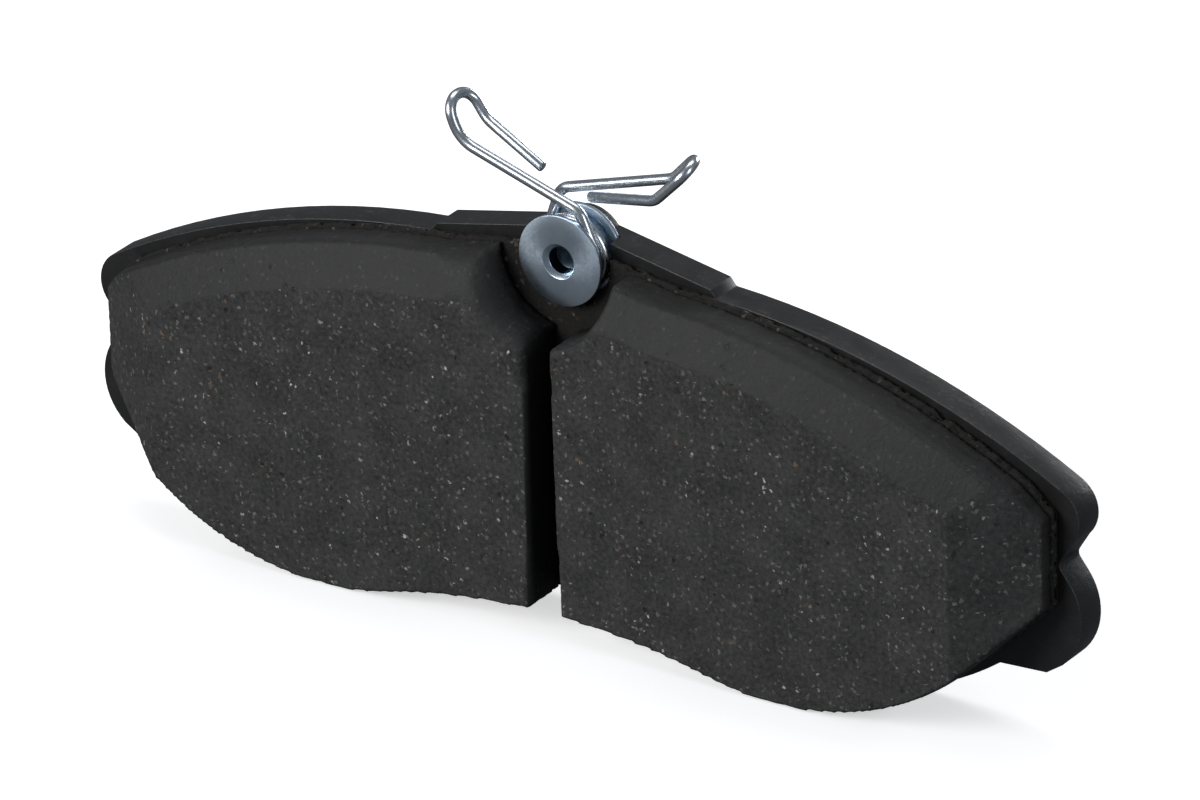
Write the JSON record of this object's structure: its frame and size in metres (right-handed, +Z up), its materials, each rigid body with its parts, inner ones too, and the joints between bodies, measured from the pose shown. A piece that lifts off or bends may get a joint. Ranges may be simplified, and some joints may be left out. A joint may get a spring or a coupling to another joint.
{
  "type": "disc brake pad",
  "caption": "Disc brake pad: a steel backing plate with notched ears, a slotted friction lining and a rivetted wire anti-rattle spring.",
  "frame": {"origin": "centre of the bounding box's base: the middle of the pad's length and thickness, on the surface it stands on", "axes": "+X along the pad, +Y out of the back of the plate (the piston side), -Y out of the friction face, +Z up to the rivet and spring"},
  "size_m": [0.1562, 0.0144, 0.0729],
  "materials": {
    "plate_paint": "semi-matt black stoving paint over stamped steel",
    "adhesive": "cured phenolic bonding film, dark brown",
    "underlayer": "coarse moulded underlayer, brown grey",
    "friction": "ground friction compound, grey with bright metal and mineral flecks",
    "zinc": "zinc plated, blue passivated",
    "spring_wire": "bright zinc plated round spring wire"
  },
  "bodies": {
    "pad": {"backing_plate": "plate_paint", "adhesive_film": "adhesive", "underlayer": "underlayer", "friction_block_left": "friction", "friction_block_right": "friction", "rivet": "zinc", "spring_washer": "zinc"},
    "spring": {"spring_coil": "spring_wire"},
    "arm_left": {"spring_arm_left": "spring_wire"},
    "arm_right": {"spring_arm_right": "spring_wire"}
  },
  "joints": [
    {"name": "spring_swivel", "type": "hinge", "parent": "pad", "child": "spring", "pos_m": [0, 0, 0.0536], "axis": [0, 1, 0], "range_deg": [-10, 10]},
    {"name": "left_arm_flex", "type": "hinge", "parent": "spring", "child": "arm_left", "pos_m": [0, 0, 0.0536], "axis": [0, -1, 0], "range_deg": [0, 15], "stiffness_Nm_per_rad": 0.03},
    {"name": "right_arm_flex", "type": "hinge", "parent": "spring", "child": "arm_right", "pos_m": [0, 0, 0.0536], "axis": [0, 1, 0], "range_deg": [0, 15], "stiffness_Nm_per_rad": 0.03}
  ]
}
